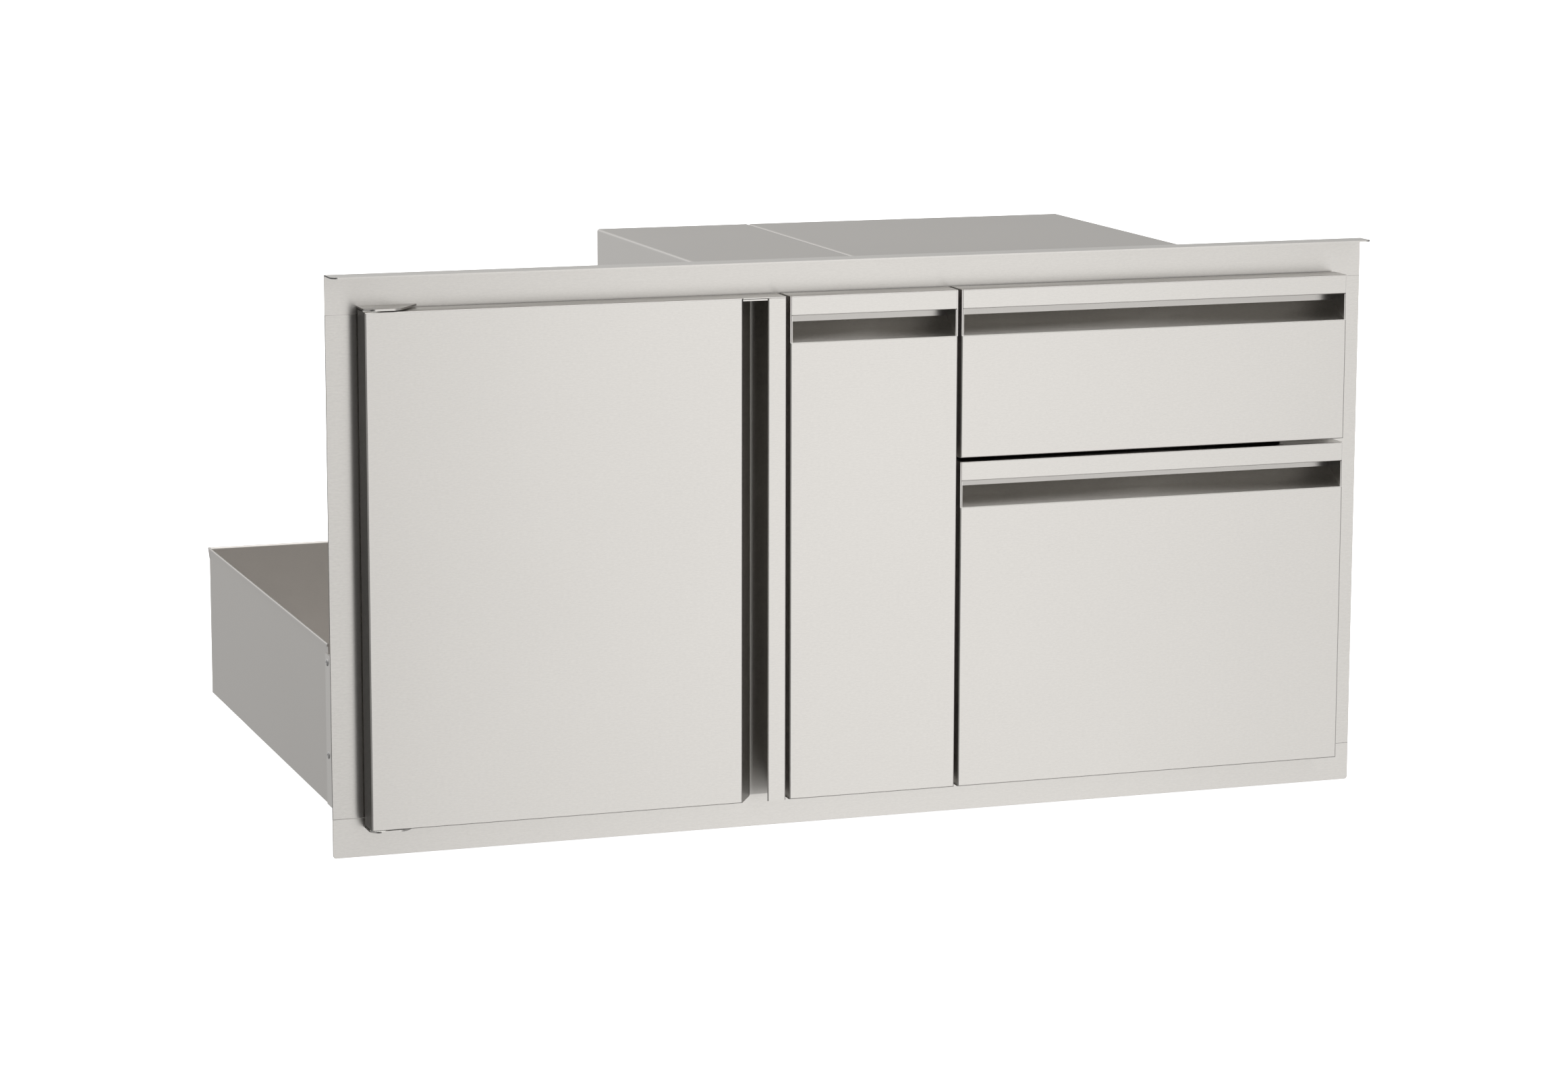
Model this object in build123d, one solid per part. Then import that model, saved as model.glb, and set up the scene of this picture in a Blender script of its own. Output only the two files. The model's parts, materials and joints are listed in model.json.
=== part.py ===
from build123d import *
import os

# Built-in door and drawer combo in folded stainless sheet, for an outdoor kitchen island.
# Millimetres. X runs to the right, Y to the back and Z up.
# The origin is on the flange's back face, at the middle of its bottom edge.

# Face frame
frame_width = 1066.8
frame_height = 558.8
frame_sheet = 1.5
rail_height = 38.1
left_stile_width = 38.1
right_stile_width = 84.4
mullion_width = 20.0
frame_corner_radius = 3.0
lip_depth = 27.0
lip_sheet = 1.3
lip_corner_radius = 6.5

# Layout of the fronts on the frame
left_margin = 30.6
right_margin = 29.2
top_margin = 33.1
bottom_margin = 31.6
front_gap = 4.0
narrow_width = 172.2
right_width = 413.0
lower_front_height = 324.7

# Folded fronts
front_sheet = 0.95
front_depth = 29.0
front_standoff = 3.0
bend_radius = 1.15
back_panel_sheet = 1.0
panel_clearance = 0.2

# Finger pulls folded into the fronts
door_strip = 18.4
door_pull_opening = 26.5
drawer_strip = 18.8
drawer_pull_opening = 26.4
pull_slant = 17.2
hem_diameter = 1.9
strip_gap = 0.3
end_cap_sheet = 0.8
end_cap_gap = 0.5
end_cap_setback = 0.4
handle_cap_sheet = 1.5
handle_cap_gap = 0.6

# Pivot hinges of the door
pivot_inset = 9.0
pivot_offset = 22.0
pin_radius = 4.0
pin_seat_clearance = 0.02
bush_clearance = 0.05
bush_wall = 1.45
bush_flange_width = 3.0
bush_length = 9.0
hinge_gap = 1.0
hinge_run_gap = 0.1
hinge_plate_sheet = 1.8
hinge_plate_front = 34.0
hinge_plate_foot = 57.5
hinge_plate_corner = 10.0
hinge_plate_sweep = 14.0
bottom_plate_setback = 3.0
hinge_block_length = 40.0
hinge_block_sheet = 3.0

# Cases, tub and mounting collars behind the frame
case_sheet = 1.2
case_edge_radius = 1.0
case_depth = 613.0
case_top_drop = 32.4
case_gap = 1.0
narrow_case_width = 173.9
right_case_width = 368.4
tub_inset = 11.9
tub_height = 158.8
tub_hem_reach = 9.0
tub_hem_drop = 13.0
collar_sheet = 1.2
collar_depth = 44.0
collar_tab_depth = 66.0
collar_hole_radius = 3.25
collar_hole_spacing = 200.0
collar_hole_drop = 60.7
notch_start = 50.0
notch_width = 8.0
notch_depth = 10.0
rivet_radius = 2.0
rivet_head_radius = 3.6
rivet_head_height = 1.4
rivet_dome_radius = 1.1
rivet_setback = 57.0
rivet_top_drop = 18.0
rivet_spacing = 91.0
hole_clearance = 0.05

# Drawer slides, in three nested members
slide_width = 12.7
slide_height = 45.0
slide_sheet = 1.2
slide_clearance = 0.35
slide_outer_setback = 1.5
slide_start = 12.0
slide_rear_gap = 51.0
slide_edge_gap = 0.5
slide_lift = 12.0
spacer_sheet = 1.5
spacer_height = 30.0
spacer_inset = 10.0

# Drawer boxes
box_sheet = 1.2
box_rear_gap = 38.0
box_floor_lift = 14.0
upper_box_lift = 20.0
upper_box_drop = 32.0
lower_box_drop = 55.0
narrow_box_height = 300.0
screw_radius = 2.0
screw_head_radius = 4.0
screw_head_height = 2.2
screw_length = 3.4
screw_margin = 22.0
bumper_radius = 1.8
bumper_margin = 60.0
bumper_gap = 0.2

# Magnetic catch
catch_height = 20.0
catch_length = 26.0
catch_depth = 12.0
catch_sheet = 1.5
catch_foot = 8.0
catch_inset = 1.1
strike_sheet = 2.0
strike_lap = 2.0
catch_gap = 0.5
catch_edge_radius = 0.8

# Levels and stations worked out from the sizes above
half_width = frame_width / 2
frame_face = -frame_sheet
opening_low = rail_height
opening_high = frame_height - rail_height
front_back = frame_face - front_standoff
front_face = front_back - front_depth
pull_back = front_back - back_panel_sheet
fronts_low = bottom_margin
fronts_high = frame_height - top_margin
lower_high = fronts_low + lower_front_height
upper_low = lower_high + front_gap
slant_slope = pull_slant / (pull_back - front_face)
open_back = front_back + 2 * front_sheet

right_high_x = half_width - right_margin
right_low_x = right_high_x - right_width
narrow_high_x = right_low_x - front_gap
narrow_low_x = narrow_high_x - narrow_width
door_high_x = narrow_low_x - front_gap
door_low_x = -half_width + left_margin
left_mullion_x = narrow_low_x - front_gap / 2
right_mullion_x = narrow_high_x + front_gap / 2
left_stile_edge = -half_width + left_stile_width
right_stile_edge = half_width - right_stile_width

case_low = opening_low
case_top = frame_height - case_top_drop
narrow_case_high = right_mullion_x - case_gap / 2
narrow_case_low = narrow_case_high - narrow_case_width
right_case_low = right_mullion_x + case_gap / 2
right_case_high = right_case_low + right_case_width
tub_low_x = -half_width + tub_inset
tub_high_x = narrow_case_low - case_gap
tub_top = case_low + tub_height
collar_x = half_width - tub_inset

pivot_x = door_low_x + pivot_inset
pivot_y = frame_face - pivot_offset
bush_radius = pin_radius + bush_clearance + bush_wall
catch_z = (fronts_low + fronts_high) / 2


def block(x0, x1, y0, y1, z0, z1):
    centre = Pos((x0 + x1) / 2, (y0 + y1) / 2, (z0 + z1) / 2)
    return centre * Box(abs(x1 - x0), abs(y1 - y0), abs(z1 - z0))


def upright(x, y, z0, z1, radius):
    return Pos(x, y, (z0 + z1) / 2) * Cylinder(radius, z1 - z0)


def along_y(x, z, y0, y1, radius):
    return Pos(x, (y0 + y1) / 2, z) * Rot(90, 0, 0) * Cylinder(radius, y1 - y0)


def along_x(y, z, x0, x1, radius):
    return Pos((x0 + x1) / 2, y, z) * Rot(0, 90, 0) * Cylinder(radius, x1 - x0)


def prism_x(points, x0, x1):
    face = Plane.YZ * make_face(Polyline(*points, close=True))
    return Pos(x0, 0, 0) * extrude(face, amount=x1 - x0)


def prism_z(points, z0, z1):
    face = make_face(Polyline(*points, close=True))
    return Pos(0, 0, z0) * extrude(face, amount=z1 - z0)


def inset(points, distance):
    return offset(make_face(Polyline(*points, close=True)), amount=-distance, kind=Kind.INTERSECTION)


def soften_front(solid, radius):
    return fillet(solid.faces().sort_by(Axis.Y)[0].edges(), radius)


def save(name, *pieces):
    solids = [solid for piece in pieces for solid in piece.solids()]
    export_step(Compound(children=solids), f"parts/{name}.step")


os.makedirs("parts", exist_ok=True)


# Face frame: two rails, two stiles and two mullions, butted together
def bottom_rail():
    rail = block(-half_width, half_width, frame_face, 0, 0, rail_height)
    corners = rail.edges().filter_by(Axis.Y).sort_by(Axis.Z)[:2]
    return fillet(corners, frame_corner_radius)


# The rain lip stands forward from the top of the top rail
def rain_lip():
    lip = block(-half_width, half_width, frame_face - lip_depth, frame_face,
                frame_height - lip_sheet, frame_height)
    corners = lip.edges().filter_by(Axis.Z).sort_by(Axis.Y)[:2]
    return fillet(corners, lip_corner_radius)


def mullion(x):
    return block(x - mullion_width / 2, x + mullion_width / 2, frame_face, 0, opening_low, opening_high)


save("frame_bottom_rail", bottom_rail())
save("frame_top_rail", block(-half_width, half_width, frame_face, 0, opening_high, frame_height))
save("rain_lip", rain_lip())
save("frame_left_stile", block(-half_width, left_stile_edge, frame_face, 0, opening_low, opening_high))
save("frame_right_stile", block(right_stile_edge, half_width, frame_face, 0, opening_low, opening_high))
save("frame_mullions", mullion(left_mullion_x), mullion(right_mullion_x))


# Mounting collars behind the stiles, with screw holes into the island
collar_hole_y = collar_depth / 2
collar_holes_z = (opening_high - collar_hole_drop, opening_high - collar_hole_drop - collar_hole_spacing)
rivets_z = (tub_top - rivet_top_drop, tub_top - rivet_top_drop - rivet_spacing)


def collar(x0, x1):
    plate = block(x0, x1, 0, collar_depth, opening_low, opening_high)
    for z in collar_holes_z:
        plate -= along_x(collar_hole_y, z, x0, x1, collar_hole_radius)
    return plate


# The left collar has a deeper tab at the bottom, riveted to the tub
def left_collar():
    plate = collar(tub_low_x - collar_sheet, tub_low_x)
    plate += block(tub_low_x - collar_sheet, tub_low_x, collar_depth, collar_tab_depth,
                   opening_low, tub_top - notch_depth)
    for z in rivets_z:
        plate -= along_x(rivet_setback, z, tub_low_x - collar_sheet, tub_low_x,
                         rivet_radius + hole_clearance)
    return plate


def rivet(z):
    head_face = tub_low_x - collar_sheet
    shank = along_x(rivet_setback, z, head_face, tub_low_x + case_sheet, rivet_radius)
    head = along_x(rivet_setback, z, head_face - rivet_head_height, head_face, rivet_head_radius)
    rim = head.edges().filter_by(GeomType.CIRCLE).sort_by(Axis.X)[0]
    return shank + fillet(rim, rivet_dome_radius)


save("mount_collars", left_collar(), collar(collar_x, collar_x + collar_sheet))
save("tub_rivets", rivet(rivets_z[0]), rivet(rivets_z[1]))


# Open tub behind the door
def tub_left_wall():
    wall = block(tub_low_x, tub_low_x + case_sheet, 0, case_depth - case_sheet, case_low, tub_top)
    wall -= block(tub_low_x, tub_low_x + case_sheet, notch_start, notch_start + notch_width,
                  tub_top - notch_depth, tub_top)
    for z in rivets_z:
        wall -= along_x(rivet_setback, z, tub_low_x, tub_low_x + case_sheet, rivet_radius + hole_clearance)
    return wall


# The back wall ends in a hem that is folded outwards and down to the wall
def tub_back_wall():
    wall = block(tub_low_x, tub_high_x, case_depth - case_sheet, case_depth, case_low, tub_top)
    hem = [(case_depth, tub_top), (case_depth + tub_hem_reach, tub_top - case_sheet),
           (case_depth + tub_hem_reach, tub_top - 2 * case_sheet), (case_depth, tub_top - tub_hem_drop)]
    return wall + prism_x(hem, tub_low_x, tub_high_x)


def tub_right_wall():
    return block(tub_high_x - case_sheet, tub_high_x, 0, case_depth - case_sheet, case_low, tub_top)


save("tub_side_walls", tub_left_wall(), tub_right_wall())
save("tub_back_wall", tub_back_wall())
save("tub_floor", block(tub_low_x + case_sheet, tub_high_x - case_sheet, 0, case_depth - case_sheet,
                        case_low, case_low + case_sheet))


case_backs = []
case_floors = []


# Closed cases behind the pull-out and the drawers
def save_case(name, x0, x1):
    inner_x0 = x0 + case_sheet
    inner_x1 = x1 - case_sheet
    under_top = case_top - case_sheet
    back_face = case_depth - case_sheet
    cover = block(x0, x1, 0, case_depth, under_top, case_top)
    bends = cover.faces().sort_by(Axis.Z)[-1].edges().filter_by(Axis.Y)
    save(f"{name}_case_walls", block(x0, inner_x0, 0, case_depth, case_low, under_top),
         block(inner_x1, x1, 0, case_depth, case_low, under_top))
    save(f"{name}_case_top", fillet(bends, case_edge_radius))
    case_backs.append(block(inner_x0, inner_x1, back_face, case_depth, case_low, under_top))
    case_floors.append(block(inner_x0, inner_x1, 0, back_face, case_low, case_low + case_sheet))


save_case("narrow", narrow_case_low, narrow_case_high)
save_case("right", right_case_low, right_case_high)
save("case_backs", *case_backs)
save("case_floors", *case_floors)


# Pivot hinges: a plate above and below the door, each with a fixed pin
def hinge_plate(z0, front):
    outline = [(door_low_x, frame_face), (door_low_x, front), (door_low_x + hinge_plate_front, front),
               (door_low_x + hinge_plate_foot, frame_face)]
    plate = prism_z(outline, z0, z0 + hinge_plate_sheet)
    sweep = plate.edges().filter_by(Axis.Z).sort_by(Axis.Y)[:2].sort_by(Axis.X)[-1]
    plate = fillet(sweep, hinge_plate_sweep)
    corner = plate.edges().filter_by(Axis.Z).sort_by(Axis.X)[:2].sort_by(Axis.Y)[0]
    plate = fillet(corner, hinge_plate_corner)
    return plate - upright(pivot_x, pivot_y, z0, z0 + hinge_plate_sheet, pin_radius + pin_seat_clearance)


top_plate_low = fronts_high + hinge_gap
bottom_plate_low = fronts_low - hinge_gap - hinge_plate_sheet
save("hinge_plates", hinge_plate(top_plate_low, front_face),
     hinge_plate(bottom_plate_low, front_face + bottom_plate_setback))
save("hinge_pins",
     upright(pivot_x, pivot_y, fronts_high - bush_length, top_plate_low + hinge_plate_sheet, pin_radius),
     upright(pivot_x, pivot_y, bottom_plate_low, fronts_low + bush_length, pin_radius))


# Door: a folded pan and a hemmed strip, which stand on one back panel with an upright finger pull between them
door_strip_x = door_high_x - door_strip
door_edge_x = door_strip_x - door_pull_opening
door_foot_x = door_edge_x + pull_slant
bush_hole = bush_radius + hole_clearance


# The pan's right side slants back to the panel
def door_pan():
    inner_low = fronts_low + front_sheet
    inner_high = fronts_high - front_sheet
    outline = [(door_low_x, pull_back), (door_low_x, front_face), (door_edge_x, front_face),
               (door_foot_x, pull_back)]
    longer = [(door_low_x, open_back), (door_low_x, front_face), (door_edge_x, front_face),
              (door_edge_x + slant_slope * (open_back - front_face), open_back)]
    hollow = Pos(0, 0, inner_low) * extrude(inset(longer, front_sheet), amount=inner_high - inner_low)
    pan = soften_front(prism_z(outline, fronts_low, fronts_high), bend_radius)
    pan -= soften_front(hollow, bend_radius - front_sheet)
    pan += block(door_low_x, door_low_x + front_sheet, pull_back, front_back, fronts_low, fronts_high)
    return pan + block(door_low_x, door_foot_x, pull_back, front_back, fronts_low, inner_low)


# The strip has a hem on its left, and its right side runs back beside the panel
def door_pull_strip(high):
    inner_x = door_high_x - front_sheet
    strip = block(door_strip_x + hem_diameter / 2, door_high_x, front_face, pull_back, fronts_low, high)
    bend = strip.edges().filter_by(Axis.Z).sort_by(Axis.Y)[:2].sort_by(Axis.X)[-1]
    strip = fillet(bend, bend_radius)
    room = block(door_strip_x, inner_x, front_face + front_sheet, pull_back, fronts_low, high)
    bend = room.edges().filter_by(Axis.Z).sort_by(Axis.Y)[:2].sort_by(Axis.X)[-1]
    strip -= fillet(bend, bend_radius - front_sheet)
    hem = upright(door_strip_x + hem_diameter / 2, front_face + hem_diameter / 2, fronts_low, high,
                  hem_diameter / 2)
    return strip + hem


# The top flange runs on over the pull to the door's right side, which carries the strip
def door_front():
    inner_high = fronts_high - front_sheet
    flange = prism_z([(door_edge_x, front_face + bend_radius), (door_edge_x + bend_radius, front_face),
                      (door_high_x, front_face), (door_high_x, pull_back), (door_foot_x, pull_back)],
                     inner_high, fronts_high)
    corner = flange.edges().filter_by(Axis.Z).sort_by(Axis.X)[-2:].sort_by(Axis.Y)[0]
    front = door_pan() + door_pull_strip(inner_high - strip_gap) + fillet(corner, bend_radius)
    front += block(door_low_x, door_high_x, pull_back, front_back, inner_high, fronts_high)
    front += block(door_high_x - front_sheet, door_high_x, front_face + 2 * bend_radius, front_back,
                   fronts_low, inner_high)
    front -= upright(pivot_x, pivot_y, inner_high - bend_radius, fronts_high, bush_hole)
    return front - upright(pivot_x, pivot_y, fronts_low, fronts_low + front_sheet + bend_radius, bush_hole)


# The plate that closes the top of the pull, just under the door's top flange
def door_handle_cap():
    high = fronts_high - front_sheet - handle_cap_gap
    outline = [(door_edge_x + 2 * handle_cap_gap, front_face + handle_cap_gap),
               (door_strip_x - handle_cap_gap, front_face + handle_cap_gap),
               (door_strip_x - handle_cap_gap, pull_back),
               (door_foot_x + 2 * handle_cap_gap, pull_back)]
    return prism_z(outline, high - handle_cap_sheet, high)


def door_bush(z0, z1, flange_z0, flange_z1):
    bush = upright(pivot_x, pivot_y, z0, z1, bush_radius)
    bush += upright(pivot_x, pivot_y, flange_z0, flange_z1, bush_radius + bush_flange_width)
    low = min(z0, flange_z0)
    high = max(z1, flange_z1)
    return bush - upright(pivot_x, pivot_y, low, high, pin_radius + bush_clearance)


# The block under each flange holds the barrel of the bush
def door_hinge_block(z0, z1):
    x0 = door_low_x + front_sheet
    plate = block(x0, x0 + hinge_block_length, front_face + bend_radius + panel_clearance,
                  front_back - back_panel_sheet - panel_clearance, z0, z1)
    return plate - upright(pivot_x, pivot_y, z0, z1, bush_hole)


bush_rim = hinge_gap - hinge_run_gap
save("door_front", door_front())
save("door_handle_cap", door_handle_cap())
save("door_bushes",
     door_bush(fronts_high - bush_length, fronts_high, fronts_high, fronts_high + bush_rim),
     door_bush(fronts_low, fronts_low + bush_length, fronts_low - bush_rim, fronts_low))
save("door_hinge_blocks",
     door_hinge_block(fronts_high - front_sheet - hinge_block_sheet, fronts_high - front_sheet),
     door_hinge_block(fronts_low + front_sheet, fronts_low + front_sheet + hinge_block_sheet))

panel_edge = front_sheet + panel_clearance
save("door_back_panel",
     block(door_low_x + panel_edge, door_high_x - panel_edge, front_back - back_panel_sheet, front_back,
           fronts_low + panel_edge, fronts_high - panel_edge))


# Rubber bumpers between a front and the frame
def bumper(x, z):
    return along_y(x, z, front_back, frame_face - bumper_gap, bumper_radius)


door_bumper_x = (door_high_x - panel_edge + left_mullion_x - mullion_width / 2) / 2
save("door_bumpers", bumper(door_bumper_x, fronts_low + bumper_margin),
     bumper(door_bumper_x, fronts_high - bumper_margin))


# Magnetic catch: a magnet on a bracket behind the left mullion, and a strike plate on the door
catch_high_x = left_mullion_x - mullion_width / 2 + catch_inset
magnet_high_x = catch_high_x - catch_inset - 2 * catch_sheet
magnet_low_x = magnet_high_x - catch_length
strike_face = front_back + strike_sheet
magnet_face = strike_face + catch_gap
catch_low_z = catch_z - catch_height / 2
catch_high_z = catch_z + catch_height / 2


def catch_bracket():
    arm_y = magnet_face + catch_depth
    foot = block(catch_high_x, catch_high_x + catch_foot, 0, catch_sheet, catch_low_z, catch_high_z)
    web = block(catch_high_x - catch_sheet, catch_high_x, 0, arm_y + catch_sheet, catch_low_z, catch_high_z)
    arm = block(magnet_low_x, catch_high_x, arm_y, arm_y + catch_sheet, catch_low_z, catch_high_z)
    return foot + web + arm


def catch_magnet():
    magnet = block(magnet_low_x, magnet_high_x, magnet_face, magnet_face + catch_depth,
                   catch_low_z, catch_high_z)
    return soften_front(magnet, catch_edge_radius)


save("catch_bracket", catch_bracket())
save("catch_magnet", catch_magnet())
save("door_strike_plate", block(magnet_low_x - strike_lap, magnet_high_x + strike_lap, front_back, strike_face,
                                catch_low_z - strike_lap, catch_high_z + strike_lap))


# The pan's side plates run on past the pull, up to the top of the front
def side_plate(x0, edge, high):
    plate = block(x0, x0 + front_sheet, front_face + end_cap_setback, front_back, edge, high)
    corner = plate.edges().filter_by(Axis.X).sort_by(Axis.Y)[:2].sort_by(Axis.Z)[-1]
    return fillet(corner, bend_radius)


# A drawer front's pan, whose upper side slants back to the panel
def drawer_pan(x0, x1, low, edge):
    outline = [(pull_back, low), (front_face, low), (front_face, edge), (pull_back, edge + pull_slant)]
    longer = [(open_back, low), (front_face, low), (front_face, edge),
              (open_back, edge + slant_slope * (open_back - front_face))]
    inner_x0 = x0 + front_sheet
    inner_x1 = x1 - front_sheet
    hollow = Pos(inner_x0, 0, 0) * extrude(Plane.YZ * inset(longer, front_sheet), amount=inner_x1 - inner_x0)
    pan = soften_front(prism_x(outline, x0, x1), bend_radius)
    pan -= soften_front(hollow, bend_radius - front_sheet)
    pan += block(x0, x1, pull_back, front_back, low, low + front_sheet)
    pan += block(x0, inner_x0, pull_back, front_back, low, edge + pull_slant)
    return pan + block(inner_x1, x1, pull_back, front_back, low, edge + pull_slant)


# The strip along the top has a hem at its lower edge, and is a hairline short of the side plates
def drawer_pull_strip(x0, x1, low, high):
    strip = block(x0, x1, front_face, front_back, low + hem_diameter / 2, high)
    strip = fillet(strip.edges().filter_by(Axis.X).sort_by(Axis.Y)[:2].sort_by(Axis.Z)[-1], bend_radius)
    room = block(x0, x1, front_face + front_sheet, front_back, low, high - front_sheet)
    room = fillet(room.edges().filter_by(Axis.X).sort_by(Axis.Y)[:2].sort_by(Axis.Z)[-1],
                  bend_radius - front_sheet)
    hem = along_x(front_face + hem_diameter / 2, low + hem_diameter / 2, x0, x1, hem_diameter / 2)
    return (strip - room) + hem


# Drawer fronts: a pan, two side plates and a strip, with a finger pull between the pan and the strip
def drawer_front(x0, x1, low, high):
    strip_low = high - drawer_strip
    edge = strip_low - drawer_pull_opening
    inner_x0 = x0 + front_sheet
    inner_x1 = x1 - front_sheet
    plates = side_plate(x0, edge, high) + side_plate(inner_x1, edge, high)
    strip = drawer_pull_strip(inner_x0 + strip_gap, inner_x1 - strip_gap, strip_low, high)
    top = block(x0, x1, front_face + 2 * bend_radius, front_back, high - front_sheet, high)
    return drawer_pan(x0, x1, low, edge) + plates + strip + top


# Plates inside the pull that close its two ends, standing on the slant behind the strip
def end_cap(x0, high):
    strip_low = high - drawer_strip - strip_gap
    edge = high - drawer_strip - drawer_pull_opening
    cap_front = front_face + end_cap_setback
    cap_low = edge + end_cap_setback * slant_slope
    behind_hem = front_face + hem_diameter + strip_gap
    under_top = high - front_sheet
    outline = [(cap_front, cap_low), (cap_front, strip_low), (behind_hem, strip_low),
               (behind_hem, under_top), (pull_back, under_top), (pull_back, edge + pull_slant)]
    return prism_x(outline, x0, x0 + end_cap_sheet)


# A slide member: a C-section with its web at one side and its flanges towards the other
def channel(web_x, tip_x, half, z):
    inward = slide_sheet if tip_x > web_x else -slide_sheet
    y1 = case_depth - slide_rear_gap
    solid = block(web_x, tip_x, slide_start, y1, z - half, z + half)
    room = half - slide_sheet
    return solid - block(web_x + inward, tip_x + inward, slide_start, y1, z - room, z + room)


# The outer, middle and inner members on one side of a drawer
def slide(mount_x, way, z):
    step = slide_sheet + slide_clearance
    half = slide_height / 2
    middle_tip = slide_width - step
    outer = channel(mount_x, mount_x + way * (middle_tip - slide_outer_setback), half, z)
    middle = channel(mount_x + way * step, mount_x + way * middle_tip, half - step, z)
    inner = channel(mount_x + way * slide_width, mount_x + way * 2 * step, half - 2 * step, z)
    return outer, middle, inner


# A shallow channel that carries a slide clear of the frame's opening, with its open side to the case wall
def spacer(wall_x, mount_x, z):
    y0 = slide_start + spacer_inset
    y1 = case_depth - slide_rear_gap - spacer_inset
    half = spacer_height / 2
    room = half - spacer_sheet
    outwards = spacer_sheet if wall_x > mount_x else -spacer_sheet
    bar = block(wall_x, mount_x, y0, y1, z - half, z + half)
    return bar - block(wall_x, mount_x + outwards, y0, y1, z - room, z + room)


# Screws that hold the front to the box, with their heads inside the box
def front_screw(x, z):
    seat = front_back + box_sheet
    head = along_y(x, z, seat, seat + screw_head_height, screw_head_radius)
    head = fillet(head.edges().filter_by(GeomType.CIRCLE).sort_by(Axis.Y)[-1], screw_head_height / 2)
    return head + along_y(x, z, seat - screw_length, seat, screw_radius)


def drill_for_screws(plate, points):
    for x, z in points:
        plate -= along_y(x, z, front_back - screw_length, front_back + box_sheet, screw_radius + hole_clearance)
    return plate


spacers = []


# One drawer: front, end caps, back panel, bumpers, screws, box and slides
def save_drawer(name, front, opening, case, box_low, box_high, bumpers_x):
    x0, x1, low, high = front
    mount_x0 = opening[0] + slide_edge_gap
    mount_x1 = opening[1] - slide_edge_gap
    box_x0 = mount_x0 + slide_width
    box_x1 = mount_x1 - slide_width
    box_y1 = case_depth - box_rear_gap
    wall = box_sheet
    slide_z = box_low + slide_lift + slide_height / 2
    cap_inset = front_sheet + end_cap_gap
    screws = [(x, z) for x in (box_x0 + screw_margin, box_x1 - screw_margin)
              for z in (box_low + screw_margin, box_high - screw_margin)]
    panel = block(x0 + panel_edge, x1 - panel_edge, front_back - back_panel_sheet, front_back,
                  low + panel_edge, high - panel_edge)
    face_wall = block(box_x0 + wall, box_x1 - wall, front_back, front_back + wall, box_low, box_high)
    left_outer, left_middle, left_inner = slide(mount_x0, 1, slide_z)
    right_outer, right_middle, right_inner = slide(mount_x1, -1, slide_z)
    spacers.append(spacer(case[0] + case_sheet, mount_x0, slide_z))
    spacers.append(spacer(case[1] - case_sheet, mount_x1, slide_z))
    save(f"{name}_front", drawer_front(x0, x1, low, high))
    save(f"{name}_pull_end_caps", end_cap(x0 + cap_inset, high), end_cap(x1 - cap_inset - end_cap_sheet, high))
    save(f"{name}_back_panel", drill_for_screws(panel, screws))
    save(f"{name}_front_screws", *[front_screw(x, z) for x, z in screws])
    save(f"{name}_bumpers", *[bumper(x, z) for x in bumpers_x
                              for z in (low + bumper_margin, high - bumper_margin)])
    save(f"{name}_box_walls",
         block(box_x0, box_x0 + wall, front_back, box_y1, box_low, box_high),
         block(box_x1 - wall, box_x1, front_back, box_y1, box_low, box_high),
         drill_for_screws(face_wall, screws),
         block(box_x0 + wall, box_x1 - wall, box_y1 - wall, box_y1, box_low, box_high))
    save(f"{name}_box_floor", block(box_x0 + wall, box_x1 - wall, front_back + wall, box_y1 - wall,
                                    box_low, box_low + wall))
    save(f"{name}_slide_outers", left_outer, right_outer)
    save(f"{name}_slide_middles", left_middle, right_middle)
    save(f"{name}_slide_inners", left_inner, right_inner)


narrow_opening = (left_mullion_x + mullion_width / 2, right_mullion_x - mullion_width / 2)
right_opening = (right_mullion_x + mullion_width / 2, right_stile_edge)
narrow_case = (narrow_case_low, narrow_case_high)
right_case = (right_case_low, right_case_high)
narrow_bumpers_x = ((narrow_low_x + panel_edge + narrow_opening[0]) / 2,
                    (narrow_high_x - panel_edge + narrow_opening[1]) / 2)
right_bumpers_x = ((right_low_x + panel_edge + right_opening[0]) / 2,
                   (right_high_x - panel_edge + right_opening[1]) / 2)
floor_low = opening_low + box_floor_lift

save_drawer("pullout", (narrow_low_x, narrow_high_x, fronts_low, fronts_high), narrow_opening, narrow_case,
            floor_low, floor_low + narrow_box_height, narrow_bumpers_x)
save_drawer("lower", (right_low_x, right_high_x, fronts_low, lower_high), right_opening, right_case,
            floor_low, lower_high - lower_box_drop, right_bumpers_x)
save_drawer("upper", (right_low_x, right_high_x, upper_low, fronts_high), right_opening, right_case,
            upper_low + upper_box_lift, opening_high - upper_box_drop, right_bumpers_x)
save("slide_spacers", *spacers)
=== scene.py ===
import json
import math
import bpy
import numpy as np
from mathutils import Matrix, Vector


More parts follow.
